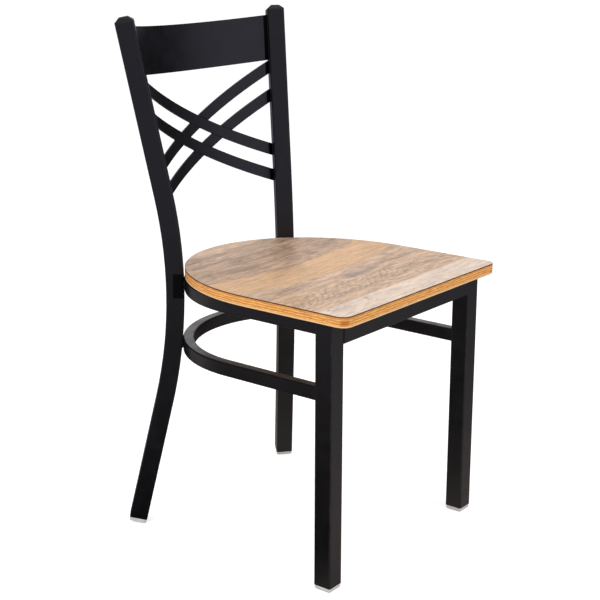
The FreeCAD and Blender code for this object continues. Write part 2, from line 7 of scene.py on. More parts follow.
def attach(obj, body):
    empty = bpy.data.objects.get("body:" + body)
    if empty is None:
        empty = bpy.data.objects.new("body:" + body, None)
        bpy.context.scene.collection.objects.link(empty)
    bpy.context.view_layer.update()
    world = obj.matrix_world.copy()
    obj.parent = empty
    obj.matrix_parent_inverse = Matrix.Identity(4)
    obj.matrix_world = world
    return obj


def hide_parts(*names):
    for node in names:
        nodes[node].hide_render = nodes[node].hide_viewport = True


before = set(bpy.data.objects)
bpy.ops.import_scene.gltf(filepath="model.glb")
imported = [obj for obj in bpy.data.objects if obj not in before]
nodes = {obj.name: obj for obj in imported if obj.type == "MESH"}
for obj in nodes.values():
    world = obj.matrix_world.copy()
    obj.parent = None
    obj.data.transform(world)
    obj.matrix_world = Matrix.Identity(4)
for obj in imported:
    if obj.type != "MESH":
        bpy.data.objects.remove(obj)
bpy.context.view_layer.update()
print("frame loaded,", len(nodes), "nodes")


# camera, from the measured corners of the chair: metres, angles in degrees, lens and sensor in mm
camera = {
    "place": (-1.69887, -1.34247, 0.99561),
    "around": -51.7198,
    "above": 15.7756,
    "roll": 0.0941,
    "lens": 81.072,
    "sensor": 36,
    "reach": 30,
}


def makeCamera():
    around, above, roll = (math.radians(camera[k]) for k in ("around", "above", "roll"))
    level = Vector((math.cos(around), math.sin(around), 0))
    facing = Vector((math.sin(around), -math.cos(around), 0))
    back = facing * math.cos(above) + Vector((0, 0, math.sin(above)))
    upright = back.cross(level)
    right = level * math.cos(roll) + upright * math.sin(roll)
    up = back.cross(right)
    data = bpy.data.cameras.new("camera")
    data.sensor_width = camera["sensor"]
    data.lens = camera["lens"]
    data.clip_end = camera["reach"]
    viewer = bpy.data.objects.new("camera", data)
    viewer.matrix_world = Matrix((right, up, back)).transposed().to_4x4()
    viewer.matrix_world.translation = Vector(camera["place"])
    bpy.context.scene.collection.objects.link(viewer)
    bpy.context.scene.camera = viewer


makeCamera()
bpy.context.scene.view_settings.view_transform = "Standard"
print("camera placed")


# small helpers for shader nodes: put adds one node and feeds it values or other nodes
def put(tree, kind, settings=None, inputs=None):
    made = tree.nodes.new("ShaderNode" + kind)
    for key, value in (settings or {}).items():
        setattr(made, key, value)
    for key, value in (inputs or {}).items():
        feed(tree, made.inputs[key], value)
    return made


def feed(tree, socket, value):
    if isinstance(value, bpy.types.NodeSocket):
        tree.links.new(value, socket)
    else:
        socket.default_value = value


def calc(tree, operation, *values):
    return put(tree, "Math", {"operation": operation}, dict(enumerate(values))).outputs[0]


def mixColour(tree, factor, first, second, how="MIX"):
    made = put(tree, "Mix", {"data_type": "RGBA", "blend_type": how}, {0: factor, 6: first, 7: second})
    return made.outputs[2]


def span(tree, value, low, high, toLow=0.0, toHigh=1.0, smooth=True):
    # a value that runs from low to high, made to run from toLow to toHigh
    kind = "SMOOTHSTEP" if smooth else "LINEAR"
    inputs = {0: value, 1: low, 2: high, 3: toLow, 4: toHigh}
    return put(tree, "MapRange", {"interpolation_type": kind}, inputs).outputs[0]


def stretch(tree, vector, scale, shift=(0, 0, 0)):
    return put(tree, "Mapping", None, {"Vector": vector, "Location": shift, "Scale": scale}).outputs[0]


def noise(tree, vector, scale, detail=2, rough=0.5, warp=0.0):
    inputs = {"Vector": vector, "Scale": scale, "Detail": detail, "Roughness": rough, "Distortion": warp}
    return put(tree, "TexNoise", None, inputs).outputs["Fac"]


def split(tree, vector):
    return put(tree, "SeparateXYZ", None, {0: vector}).outputs


def length(tree, vector):
    return put(tree, "VectorMath", {"operation": "LENGTH"}, {0: vector}).outputs["Value"]


def grey(tree, value):
    return put(tree, "CombineColor", None, {0: value, 1: value, 2: value}).outputs[0]


def swing(tree, value, amount):
    # a value from 0 to 1, centred and scaled
    return calc(tree, "MULTIPLY", calc(tree, "SUBTRACT", value, 0.5), amount)


def total(tree, first, *others):
    for other in others:
        first = calc(tree, "ADD", first, other)
    return first


def newGroup(name, inputs, outputs):
    group = bpy.data.node_groups.new(name, "ShaderNodeTree")
    for title, kind, value in inputs:
        socket = group.interface.new_socket(name=title, in_out="INPUT", socket_type="NodeSocket" + kind)
        socket.default_value = value
    for title, kind in outputs:
        group.interface.new_socket(name=title, in_out="OUTPUT", socket_type="NodeSocket" + kind)
    source = group.nodes.new("NodeGroupInput")
    sink = group.nodes.new("NodeGroupOutput")
    return group, source.outputs, sink.inputs


def useGroup(tree, group, inputs):
    made = tree.nodes.new("ShaderNodeGroup")
    made.node_tree = group
    for key, value in inputs.items():
        feed(tree, made.inputs[key], value)
    return made.outputs


def newMaterial(name, plain):
    material = bpy.data.materials.new(name)
    material.use_nodes = True
    tree = material.node_tree
    tree.nodes.clear()
    output = tree.nodes.new("ShaderNodeOutputMaterial")
    shader = tree.nodes.new("ShaderNodeBsdfPrincipled")
    tree.links.new(shader.outputs["BSDF"], output.inputs["Surface"])
    for key, value in plain.items():
        shader.inputs[key].default_value = value
    return material, tree, shader


def surface(tree):
    coords = put(tree, "TexCoord").outputs
    return coords["Object"], coords["Normal"]


def addBump(tree, shader, height, strength, distance):
    made = put(tree, "Bump", None, {"Strength": strength, "Distance": distance, "Height": height})
    tree.links.new(made.outputs["Normal"], shader.inputs["Normal"])


# shared effects: the size each pattern is drawn at and the levels between which it fades in
effects = {
    "mottle": {"size": 38.0, "fade": (0.3, 0.7)},
    # how far the normal has turned from a face where the wear and painted highlight of a corner start and
    # are full
    "corner": (0.25, 0.62),
    "cornerPatches": {"size": 60.0, "fade": (0.5, 0.68)},
    # how far a face looks up where dust starts to lie and is full
    "filmSlope": (0.2, 0.95),
    "film": {"size": 24.0, "fade": (0.35, 0.75)},
    "specks": {"size": 160.0, "fade": (0.12, 0.05)},
    "speckPlaces": {"size": 31.0, "fade": (0.6, 0.66)},
    "streakSize": 120.0,
    "pores": {"size": (70, 950, 950), "fade": (0.6, 0.74)},
    "swaySize": (7, 16, 7),
}


def makeOrangePeel():
    group, given, out = newGroup(
        "orangePeel",
        [("Vector", "Vector", (0, 0, 0)), ("Size", "Float", 900.0)],
        [("Height", "Float"), ("Mottle", "Float")],
    )
    mottle = effects["mottle"]
    broad = noise(group, given["Vector"], mottle["size"], 3, 0.55)
    feed(group, out["Height"], noise(group, given["Vector"], given["Size"], 3, 0.6))
    feed(group, out["Mottle"], span(group, broad, *mottle["fade"]))
    return group


def makeCornerWearAndHighlight():
    # corners of a square section, lighter as wear and a painted highlight: where the normal turns from one
    # face to the next
    group, given, out = newGroup(
        "cornerWearAndHighlight",
        [("Vector", "Vector", (0, 0, 0)), ("Normal", "Vector", (0, 0, 1)), ("Upright", "Float", 0.0)],
        [("WearAndHighlight", "Float")],
    )
    across, along, up = (calc(group, "ABSOLUTE", part) for part in split(group, given["Normal"]))
    squares = [calc(group, "MULTIPLY", side, side) for side in (across, along)]
    level = calc(group, "SQRT", calc(group, "ADD", *squares))
    lying = calc(group, "MINIMUM", up, level)
    standing = calc(group, "MINIMUM", across, along)
    both = calc(group, "ADD", lying, calc(group, "MULTIPLY", standing, given["Upright"]))
    patches = effects["cornerPatches"]
    patchy = span(group, noise(group, given["Vector"], patches["size"], 4, 0.65), *patches["fade"])
    feed(group, out["WearAndHighlight"], calc(group, "MULTIPLY", span(group, both, *effects["corner"]), patchy))
    return group


def makeDust():
    group, given, out = newGroup(
        "dust",
        [("Vector", "Vector", (0, 0, 0)), ("Normal", "Vector", (0, 0, 1))],
        [("Film", "Float"), ("Specks", "Float")],
    )
    film, specks, places = effects["film"], effects["specks"], effects["speckPlaces"]
    lying = span(group, split(group, given["Normal"])[2], *effects["filmSlope"])
    cloud = span(group, noise(group, given["Vector"], film["size"], 4, 0.6), *film["fade"])
    cells = {"Vector": given["Vector"], "Scale": specks["size"]}
    dots = put(group, "TexVoronoi", None, cells).outputs["Distance"]
    rare = span(group, noise(group, given["Vector"], places["size"], 1), *places["fade"])
    feed(group, out["Film"], calc(group, "MULTIPLY", lying, cloud))
    feed(group, out["Specks"], calc(group, "MULTIPLY", span(group, dots, *specks["fade"]), rare))
    return group


def makeWoodGrain():
    # long streaks and short pores along X
    group, given, out = newGroup(
        "woodGrain",
        [("Vector", "Vector", (0, 0, 0)), ("Length", "Float", 5.0)],
        [("Streak", "Float"), ("Pore", "Float")],
    )
    across, pores = effects["streakSize"], effects["pores"]
    scale = put(group, "CombineXYZ", None, {0: given["Length"], 1: across, 2: across}).outputs[0]
    streak = noise(group, stretch(group, given["Vector"], scale), 1.0, 6, 0.62)
    pore = noise(group, stretch(group, given["Vector"], pores["size"]), 1.0, 2, 0.5)
    feed(group, out["Streak"], streak)
    feed(group, out["Pore"], span(group, pore, *pores["fade"]))
    return group


def bendGrain(tree, vector, drift):
    # the grain sways sideways by up to the drift, in metres
    sway = noise(tree, stretch(tree, vector, effects["swaySize"]), 1.0, 2)
    shift = put(tree, "CombineXYZ", None, {1: swing(tree, sway, drift)}).outputs[0]
    return put(tree, "VectorMath", {"operation": "ADD"}, {0: vector, 1: shift}).outputs[0]


orangePeel = makeOrangePeel()
cornerWearAndHighlight = makeCornerWearAndHighlight()
dust = makeDust()
woodGrain = makeWoodGrain()
print("shared effects made")


# black powder coat; the uprights have a flat black mark where the seat frame meets them,
# and the plates of the back are painted black where they run into the uprights, as painted shade
steelFinish = {
    "dark": (0.0026, 0.0023, 0.0030, 1),
    "light": (0.0042, 0.0037, 0.0048, 1),
    # lighter corners: partly wear, partly a painted highlight along the edges
    "wornAndHighlight": (0.03, 0.029, 0.03, 1),
    "wornAndHighlightAmount": 0.35,
    "speck": (0.12, 0.115, 0.11, 1),
    "speckAmount": 0.5,
    # black of the mark on the uprights and of the painted shade at the ends of the back plates
    "markAndPaintedShade": (0.0012, 0.0012, 0.0014, 1),
    "markAndPaintedShadeMetal": 0.9,
    "roughness": (0.34, 0.44),
    "filmRoughness": 0.08,
    # size of the orange peel, then the strength and depth of the relief, and the height of weld lumps
    "peel": 900.0,
    "relief": (0.16, 0.0004),
    "lumpHeight": 2.5,
    # turn of the uprights about the vertical, in degrees
    "turn": 42.5,
    "patch": {
        "centre": (0.1439, 0.1459),
        "reach": (-0.0165, 0.003),
        "level": (0.397, 0.437),
        "depth": 0.8,
        # how softly its front, back, top and bottom end
        "soft": (0.002, 0.001, 0.0008),
    },
    # side plane of an upright, for the painted shade on the plates: its place at the floor, its lean
    # outwards, how far the black runs
    "ends": {"plane": 0.0004, "lean": 0.0181, "reach": 0.0068, "soft": 0.0008},
}


def makePowderCoat(name, upright, makeMarkAndPaintedShade=None, lumps=0.0):
    material, tree, shader = newMaterial(name, {"Specular IOR Level": 0.5, "IOR": 1.5})
    place, normal = surface(tree)
    peel = useGroup(tree, orangePeel, {"Vector": place, "Size": steelFinish["peel"]})
    wearAndHighlight = useGroup(tree, cornerWearAndHighlight, {"Vector": place, "Normal": normal, "Upright": upright})
    dirt = useGroup(tree, dust, {"Vector": place, "Normal": normal})
    colour = mixColour(tree, peel["Mottle"], steelFinish["dark"], steelFinish["light"])
    # the corners turn lighter: partly wear, partly a painted highlight along the edges
    wornAndHighlight = calc(tree, "MULTIPLY", wearAndHighlight["WearAndHighlight"], steelFinish["wornAndHighlightAmount"])
    colour = mixColour(tree, wornAndHighlight, colour, steelFinish["wornAndHighlight"])
    specks = calc(tree, "MULTIPLY", dirt["Specks"], steelFinish["speckAmount"])
    colour = mixColour(tree, specks, colour, steelFinish["speck"])
    rough = span(tree, peel["Mottle"], 0, 1, *steelFinish["roughness"], False)
    film = calc(tree, "MULTIPLY", dirt["Film"], steelFinish["filmRoughness"])
    # the black mark on the uprights, and painted shade at the ends of the back plates, both black with
    # almost no gloss
    if makeMarkAndPaintedShade:
        markAndPaintedShade = makeMarkAndPaintedShade(tree, split(tree, place))
        colour = mixColour(tree, markAndPaintedShade, colour, steelFinish["markAndPaintedShade"])
        metal = calc(tree, "MULTIPLY", markAndPaintedShade, steelFinish["markAndPaintedShadeMetal"])
        feed(tree, shader.inputs["Metallic"], metal)
    feed(tree, shader.inputs["Base Color"], colour)
    feed(tree, shader.inputs["Roughness"], calc(tree, "ADD", rough, film))
    height = peel["Height"]
    if lumps:
        ripple = noise(tree, stretch(tree, place, (lumps, lumps, lumps)), 1.0, 2)
        ripple = calc(tree, "MULTIPLY", ripple, steelFinish["lumpHeight"])
        height = calc(tree, "ADD", height, ripple)
    addBump(tree, shader, height, *steelFinish["relief"])
    return material


def makePatchMark(tree, parts):
    patch, turn = steelFinish["patch"], math.radians(steelFinish["turn"])
    away = calc(tree, "SUBTRACT", calc(tree, "ABSOLUTE", parts[0]), patch["centre"][0])
    back = calc(tree, "SUBTRACT", parts[1], patch["centre"][1])
    across = calc(tree, "MULTIPLY", away, math.sin(turn))
    reach = calc(tree, "ADD", across, calc(tree, "MULTIPLY", back, math.cos(turn)))
    near, far = patch["reach"]
    bottom, top = patch["level"]
    softNear, softFar, softEnds = patch["soft"]
    front = span(tree, reach, near - softNear, near)
    rear = span(tree, reach, far + softFar, far)
    above = span(tree, parts[2], bottom - softEnds, bottom)
    below = span(tree, parts[2], top + softEnds, top)
    sides = calc(tree, "MULTIPLY", front, rear)
    ends = calc(tree, "MULTIPLY", above, below)
    return calc(tree, "MULTIPLY", calc(tree, "MULTIPLY", sides, ends), patch["depth"])


# painted shade: the back plates turn black along the side of each upright
def makePaintedEndShade(tree, parts):
    ends, turn = steelFinish["ends"], math.radians(steelFinish["turn"])
    away = calc(tree, "MULTIPLY", calc(tree, "ABSOLUTE", parts[0]), -math.cos(turn))
    back = calc(tree, "MULTIPLY", parts[1], math.sin(turn))
    lean = calc(tree, "MULTIPLY", parts[2], -ends["lean"])
    distance = total(tree, away, back, lean, -ends["plane"])
    return span(tree, distance, ends["reach"] + ends["soft"], ends["reach"])


# printed oak laminate: planks run left to right and are listed from the front edge back,
# each with its rear edge, the softness of that edge, its colour and the strength of its figure
laminateFinish = {
    "planks": [
        (-0.1985, 0.0012, (0.683, 0.545, 0.445), 0.6),
        (-0.083, 0.006, (0.567, 0.388, 0.269), 1.0),
        (-0.003, 0.006, (0.632, 0.396, 0.227), 0.55),
        (0.150, 0.010, (0.444, 0.296, 0.202), 1.15),
        (0.260, 0.008, (0.640, 0.452, 0.322), 0.7),
    ],
    "tilt": 0.015,
    # the softer joints between planks curve back towards both sides and are ragged
    "bow": 0.9,
    "bowFrom": (-0.18, -0.12),
    "raggedJoint": 0.045,
    "raggedSize": (28, 75, 1),
    # darker places: x, y, half length, half width, colour, strength
    "blotchesAndPaintedShade": [
        # the first is partly the wood's tone and partly painted shade and reflection of the far upright
        (0.045, 0.078, 0.075, 0.030, (0.300, 0.185, 0.110), 0.6),
        (-0.080, 0.045, 0.060, 0.016, (0.270, 0.175, 0.125), 0.55),
        (-0.030, 0.125, 0.120, 0.018, (0.480, 0.345, 0.260), 0.6),
        (0.130, 0.045, 0.080, 0.018, (0.470, 0.320, 0.235), 0.6),
        (-0.100, 0.100, 0.050, 0.012, (0.470, 0.330, 0.240), 0.5),
        (-0.063, -0.022, 0.045, 0.032, (0.514, 0.306, 0.165), 0.4),
        (-0.160, -0.088, 0.050, 0.014, (0.400, 0.270, 0.190), 0.7),
        (0.150, -0.102, 0.070, 0.007, (0.340, 0.225, 0.165), 0.7),
        (-0.020, -0.086, 0.050, 0.006, (0.680, 0.500, 0.360), 0.7),
        (-0.185, -0.135, 0.060, 0.035, (0.520, 0.330, 0.190), 0.55),
        (0.014, -0.109, 0.070, 0.013, (0.350, 0.245, 0.200), 0.75),
        (0.000, -0.116, 0.026, 0.006, (0.240, 0.205, 0.205), 0.75),
        (-0.193, -0.207, 0.005, 0.003, (0.260, 0.160, 0.110), 0.8),
        (-0.104, -0.211, 0.004, 0.005, (0.300, 0.210, 0.150), 0.8),
    ],
    # how ragged they are and where they fade, as a share of their half size
    "blotchRagged": 1.6,
    "blotchFade": (1.15, 0.25),
    # the figure, from broad to fine: stretch, detail, roughness, strength, whether it bends
    "layers": {
        "band": ((7, 75, 1), 5, 0.65, 0.95, True),
        "fleck": ((20, 190, 1), 4, 0.7, 1.35, True),
        "speckle": ((75, 330, 1), 3, 0.75, 1.1, False),
        "fine": ((170, 1100, 1), 2, 0.5, 0.3, True),
        "cloud": ((22, 52, 1), 4, 0.6, 0.45, False),
    },
    # how far the grain sways, in metres, and the length, strength and depth of its pores
    "drift": 0.014,
    "grainLength": 5.0,
    "poreStrength": -0.07,
    "poreDepth": -0.6,
    "loops": {"size": (4.5, 17, 1), "shift": (0.3, 0.6, 0), "count": 11, "strength": 0.1},
    "veins": {"size": (42, 105, 1), "shift": (0.2, 0.7, 0), "width": 0.045, "strength": -0.13},
    # arched growth rings: centre, fall to the left and right, spacing, zone from front to back
    "arches": {
        "middle": 0.070,
        "fall": (0.95, 0.35),
        "pitch": 0.015,
        "zone": (-0.180, -0.166, -0.138, -0.120),
        # how far cloud and speckle push them about, and how much of them the cloud hides
        "wander": (0.045, 0.006),
        "hidden": (0.34, 0.54),
        "stroke": (0.0, 0.95),
        "strength": -0.27,
    },
    "brightness": 1.03,
    "roughness": (0.44, 0.56),
    "edgeRoughness": 0.95,
    # the cut edge is dark; how far a face turns from level where it starts and is full
    "edge": (0.055, 0.012, 0.001, 1),
    "edgeSlope": (0.95, 0.8),
    "relief": (0.1, 0.0004),
}


def makeLaminate():
    material, tree, shader = newMaterial("oakLaminate", {"Specular IOR Level": 0.3, "IOR": 1.5})
    place, normal = surface(tree)
    parts = split(tree, place)
    ragged = noise(tree, stretch(tree, place, laminateFinish["raggedSize"]), 1.0, 5, 0.62)
    colour, figure = makePlanks(tree, parts, ragged)
    # darker places, one of them partly painted shade and reflection of the far upright
    for x, y, long, wide, tone, strength in laminateFinish["blotchesAndPaintedShade"]:
        colour = addBlotchAndPaintedShade(tree, colour, place, ragged, (x, y, long, wide), (*tone, 1), strength)
    bent = bendGrain(tree, place, laminateFinish["drift"])
    grain = useGroup(tree, woodGrain, {"Vector": bent, "Length": laminateFinish["grainLength"]})
    layers, parted = {}, makeLoops(tree, bent)
    for name, (size, detail, rough, strength, bends) in laminateFinish["layers"].items():
        layers[name] = noise(tree, stretch(tree, bent if bends else place, size), 1.0, detail, rough)
        parted = calc(tree, "ADD", parted, swing(tree, layers[name], strength))
    pores = calc(tree, "MULTIPLY", grain["Pore"], laminateFinish["poreStrength"])
    arches = makeArches(tree, parts, layers["cloud"], layers["speckle"])
    parted = total(tree, parted, pores, makeVeins(tree, place), arches)
    tone = calc(tree, "ADD", laminateFinish["brightness"], calc(tree, "MULTIPLY", parted, figure))
    colour = mixColour(tree, 1.0, colour, grey(tree, tone), "MULTIPLY")
    side = span(tree, split(tree, normal)[2], *laminateFinish["edgeSlope"])
    colour = mixColour(tree, side, colour, laminateFinish["edge"])
    feed(tree, shader.inputs["Base Color"], colour)
    rough = span(tree, layers["band"], 0.3, 0.7, *laminateFinish["roughness"], False)
    edgeRough = calc(tree, "MULTIPLY", side, laminateFinish["edgeRoughness"])
    feed(tree, shader.inputs["Roughness"], calc(tree, "MAXIMUM", rough, edgeRough))
    pits = swing(tree, grain["Pore"], laminateFinish["poreDepth"])
    addBump(tree, shader, calc(tree, "ADD", layers["fleck"], pits), *laminateFinish["relief"])
    return material


def makePlanks(tree, parts, ragged):
    # colour of the planks and the strength of their figure, from the place on the seat
    bow = calc(tree, "MULTIPLY", calc(tree, "MULTIPLY", parts[0], parts[0]), laminateFinish["bow"])
    bow = calc(tree, "ADD", bow, swing(tree, ragged, laminateFinish["raggedJoint"]))
    bow = calc(tree, "MULTIPLY", bow, span(tree, parts[1], *laminateFinish["bowFrom"]))
    bow = calc(tree, "ADD", bow, calc(tree, "MULTIPLY", parts[0], laminateFinish["tilt"]))
    level = calc(tree, "SUBTRACT", parts[1], bow)
    joint, soft, tone, strength = laminateFinish["planks"][0]
    colour, figure = (*tone, 1), strength
    for following in laminateFinish["planks"][1:]:
        past = span(tree, level, joint - soft, joint + soft)
        joint, soft, tone, strength = following
        colour = mixColour(tree, past, colour, (*tone, 1))
        figure = put(tree, "Mix", None, {0: past, 2: figure, 3: strength}).outputs[0]
    return colour, figure


def makeLoops(tree, bent):
    # broad loops, as the level lines of a slow pattern
    loops = laminateFinish["loops"]
    contour = noise(tree, stretch(tree, bent, loops["size"], loops["shift"]), 1.0, 3, 0.45)
    wave = calc(tree, "SINE", calc(tree, "MULTIPLY", contour, 2 * math.pi * loops["count"]))
    return calc(tree, "MULTIPLY", wave, loops["strength"])


def makeVeins(tree, place):
    # thin winding lines where a pattern passes through its middle level
    veins = laminateFinish["veins"]
    winding = noise(tree, stretch(tree, place, veins["size"], veins["shift"]), 1.0, 4, 0.62, 0.8)
    lines = span(tree, calc(tree, "ABSOLUTE", swing(tree, winding, 1.0)), veins["width"], 0.0)
    return calc(tree, "MULTIPLY", lines, veins["strength"])


def makeArches(tree, parts, cloud, speckle):
    arches = laminateFinish["arches"]
    away = calc(tree, "SUBTRACT", parts[0], arches["middle"])
    left, right = arches["fall"]
    fall = calc(tree, "MAXIMUM", calc(tree, "MULTIPLY", away, -left), calc(tree, "MULTIPLY", away, right))
    broad, small = arches["wander"]
    level = total(tree, parts[1], fall, swing(tree, cloud, broad), swing(tree, speckle, small))
    wave = calc(tree, "SINE", calc(tree, "MULTIPLY", level, 2 * math.pi / arches["pitch"]))
    start, full, fading, end = arches["zone"]
    zone = calc(tree, "MULTIPLY", span(tree, parts[1], start, full), span(tree, parts[1], end, fading))
    zone = calc(tree, "MULTIPLY", zone, span(tree, cloud, *arches["hidden"]))
    strokes = calc(tree, "MULTIPLY", span(tree, wave, *arches["stroke"]), zone)
    return calc(tree, "MULTIPLY", strokes, arches["strength"])


def addBlotchAndPaintedShade(tree, colour, place, ragged, shape, tone, strength):
    x, y, long, wide = shape
    near = stretch(tree, place, (1 / long, 1 / wide, 0), (-x / long, -y / wide, 0))
    far = calc(tree, "ADD", length(tree, near), swing(tree, ragged, laminateFinish["blotchRagged"]))
    mask = calc(tree, "MULTIPLY", span(tree, far, *laminateFinish["blotchFade"]), strength)
    return mixColour(tree, mask, colour, tone)


# lacquered plywood: the edge shows the plies, the underside one veneer; heights in metres
plywoodFinish = {
    "bottom": 0.4296,
    "top": 0.4462,
    "plies": 9,
    "wobble": 1.6,
    "lightPly": (0.86, 0.43, 0.125, 1),
    "darkPly": (0.60, 0.235, 0.045, 1),
    # patterns along the edge: wobble of the plies, fibres, strokes
    "wobbleSize": (30, 30, 60),
    "fibreSize": (300, 300, 700),
    "strokeSize": (60, 60, 560),
    "strokeShift": (0, 0, 0.4),
    # strength of the plies and of the strokes that break them up
    "uneven": (0.75, 5.0),
    "brightness": 1.02,
    "toneStrength": (0.6, 1.0),
    "glue": (0.26, 0.09, 0.02, 1),
    "glueWidth": (0.34, 0.06),
    "glueBreaks": (0.35, 0.6, 0.2, 0.75),
    # pale ply and painted highlight near the bottom, dark rims at top and bottom (the top one partly
    # painted shade), each as its two levels from there
    # partly the ply's own pale tone, partly a painted highlight of the bottom chamfer
    "creamAndPaintedHighlight": (0.84, 0.54, 0.28, 1),
    "creamAndHighlightBand": (0.0036, 0.0025),
    "rim": (0.15, 0.042, 0.006, 1),
    "bottomRim": (0.0014, 0.0006),
    # the top rim is partly a dark glue line, partly painted shade under the laminate
    "topRimAndPaintedShade": (0.0015, 0.0007),
    "knot": (0.36, 0.10, 0.01, 1),
    "knotPlace": (-0.2055, -0.2455, 0.4375),
    "knotSize": (0.011, 0.011, 0.006),
    "knotRagged": 0.9,
    "knotFade": (1.1, 0.3),
    "knotStrength": 0.75,
    "veneer": (0.62, 0.4, 0.2, 1),
    "veneerDrift": 0.02,
    "grainLength": 5.0,
    # darkest tone of the veneer and what its streaks add
    "veneerTone": (0.82, 0.36),
    # how level a face is where the veneer starts and is full
    "faceSlope": (0.8, 0.97),
    "roughness": (0.36, 0.5),
    "relief": (0.15, 0.0003),
}


def makePlywood():
    plain = {"Specular IOR Level": 0.3, "Coat Weight": 0.08, "Coat Roughness": 0.25}
    material, tree, shader = newMaterial("plywood", plain)
    place, normal = surface(tree)
    height = split(tree, place)[2]
    fibres = noise(tree, stretch(tree, place, plywoodFinish["fibreSize"]), 1.0, 3, 0.65)
    colour, glue = makePlies(tree, place, height, fibres)
    colour = addKnot(tree, colour, place, fibres)
    colour = addRims(tree, colour, height)
    bent = bendGrain(tree, place, plywoodFinish["veneerDrift"])
    grain = useGroup(tree, woodGrain, {"Vector": bent, "Length": plywoodFinish["grainLength"]})
    darkest, added = plywoodFinish["veneerTone"]
    veneer = calc(tree, "ADD", darkest, calc(tree, "MULTIPLY", grain["Streak"], added))
    face = mixColour(tree, 1.0, plywoodFinish["veneer"], grey(tree, veneer), "MULTIPLY")
    level = calc(tree, "ABSOLUTE", split(tree, normal)[2])
    flat = span(tree, level, *plywoodFinish["faceSlope"])
    feed(tree, shader.inputs["Base Color"], mixColour(tree, flat, colour, face))
    rough = span(tree, fibres, 0.3, 0.7, *plywoodFinish["roughness"], False)
    feed(tree, shader.inputs["Roughness"], rough)
    addBump(tree, shader, calc(tree, "SUBTRACT", fibres, glue), *plywoodFinish["relief"])
    return material


def makePlies(tree, place, height, fibres):
    # light and dark plies with glue lines between them, broken up by short strokes
    levels = (plywoodFinish["bottom"], plywoodFinish["top"])
    wobble = noise(tree, stretch(tree, place, plywoodFinish["wobbleSize"]), 1.0, 5, 0.7)
    rise = span(tree, height, *levels, 0, plywoodFinish["plies"], False)
    rise = calc(tree, "ADD", rise, swing(tree, wobble, plywoodFinish["wobble"]))
    wave = calc(tree, "SINE", calc(tree, "MULTIPLY", rise, math.pi))
    streaked = stretch(tree, place, plywoodFinish["strokeSize"], plywoodFinish["strokeShift"])
    strokes = noise(tree, streaked, 1.0, 4, 0.7)
    plies, broken = plywoodFinish["uneven"]
    uneven = calc(tree, "ADD", calc(tree, "MULTIPLY", wave, plies), swing(tree, strokes, broken))
    even = span(tree, uneven, -0.5, 0.5)
    colour = mixColour(tree, even, plywoodFinish["darkPly"], plywoodFinish["lightPly"])
    fine, coarse = plywoodFinish["toneStrength"]
    tone = total(tree, plywoodFinish["brightness"], swing(tree, fibres, fine), swing(tree, strokes, coarse))
    colour = mixColour(tree, 1.0, colour, grey(tree, tone), "MULTIPLY")
    glue = span(tree, calc(tree, "ABSOLUTE", wave), *plywoodFinish["glueWidth"])
    lines = calc(tree, "MULTIPLY", glue, span(tree, strokes, *plywoodFinish["glueBreaks"]))
    return mixColour(tree, lines, colour, plywoodFinish["glue"]), glue


def addRims(tree, colour, height):
    bottom, top = plywoodFinish["bottom"], plywoodFinish["top"]
    # pale band along the bottom: partly the ply's own tone, partly a painted highlight of the chamfer
    paleAndHighlight = span(tree, height, *(bottom + level for level in plywoodFinish["creamAndHighlightBand"]))
    under = span(tree, height, *(bottom + level for level in plywoodFinish["bottomRim"]))
    # dark rim at the top: partly glue line, partly painted shade under the laminate
    topRimAndShade = span(tree, height, *(top - level for level in plywoodFinish["topRimAndPaintedShade"]))
    colour = mixColour(tree, paleAndHighlight, colour, plywoodFinish["creamAndPaintedHighlight"])
    return mixColour(tree, calc(tree, "MAXIMUM", under, topRimAndShade), colour, plywoodFinish["rim"])


def addKnot(tree, colour, place, fibres):
    size = plywoodFinish["knotSize"]
    shift = [-where / reach for where, reach in zip(plywoodFinish["knotPlace"], size)]
    near = stretch(tree, place, [1 / reach for reach in size], shift)
    far = calc(tree, "ADD", length(tree, near), swing(tree, fibres, plywoodFinish["knotRagged"]))
    mask = span(tree, far, *plywoodFinish["knotFade"], 0, plywoodFinish["knotStrength"])
    return mixColour(tree, mask, colour, plywoodFinish["knot"])


# moulded plastic of the glides, scuffed at the sole; heights in metres
glideFinish = {
    "dark": (0.54, 0.52, 0.50, 1),
    "light": (0.66, 0.64, 0.62, 1),
    "peel": 1400.0,
    "scuff": (0.42, 0.41, 0.4, 1),
    "scuffAmount": 0.4,
    "scuffLevel": (0.0035, 0.0018),
    "speck": (0.12, 0.1, 0.08, 1),
    "speckAmount": 0.6,
    "roughness": (0.48, 0.6),
    "relief": (0.15, 0.0002),
}


def makeGlidePlastic():
    material, tree, shader = newMaterial("glidePlastic", {"Specular IOR Level": 0.4, "IOR": 1.5})
    place, normal = surface(tree)
    peel = useGroup(tree, orangePeel, {"Vector": place, "Size": glideFinish["peel"]})
    dirt = useGroup(tree, dust, {"Vector": place, "Normal": normal})
    colour = mixColour(tree, peel["Mottle"], glideFinish["dark"], glideFinish["light"])
    sole = span(tree, split(tree, place)[2], *glideFinish["scuffLevel"])
    scuffs = calc(tree, "MULTIPLY", sole, glideFinish["scuffAmount"])
    colour = mixColour(tree, scuffs, colour, glideFinish["scuff"])
    specks = calc(tree, "MULTIPLY", dirt["Specks"], glideFinish["speckAmount"])
    colour = mixColour(tree, specks, colour, glideFinish["speck"])
    feed(tree, shader.inputs["Base Color"], colour)
    rough = span(tree, peel["Mottle"], 0, 1, *glideFinish["roughness"], False)
    feed(tree, shader.inputs["Roughness"], rough)
    addBump(tree, shader, peel["Height"], *glideFinish["relief"])
    return material


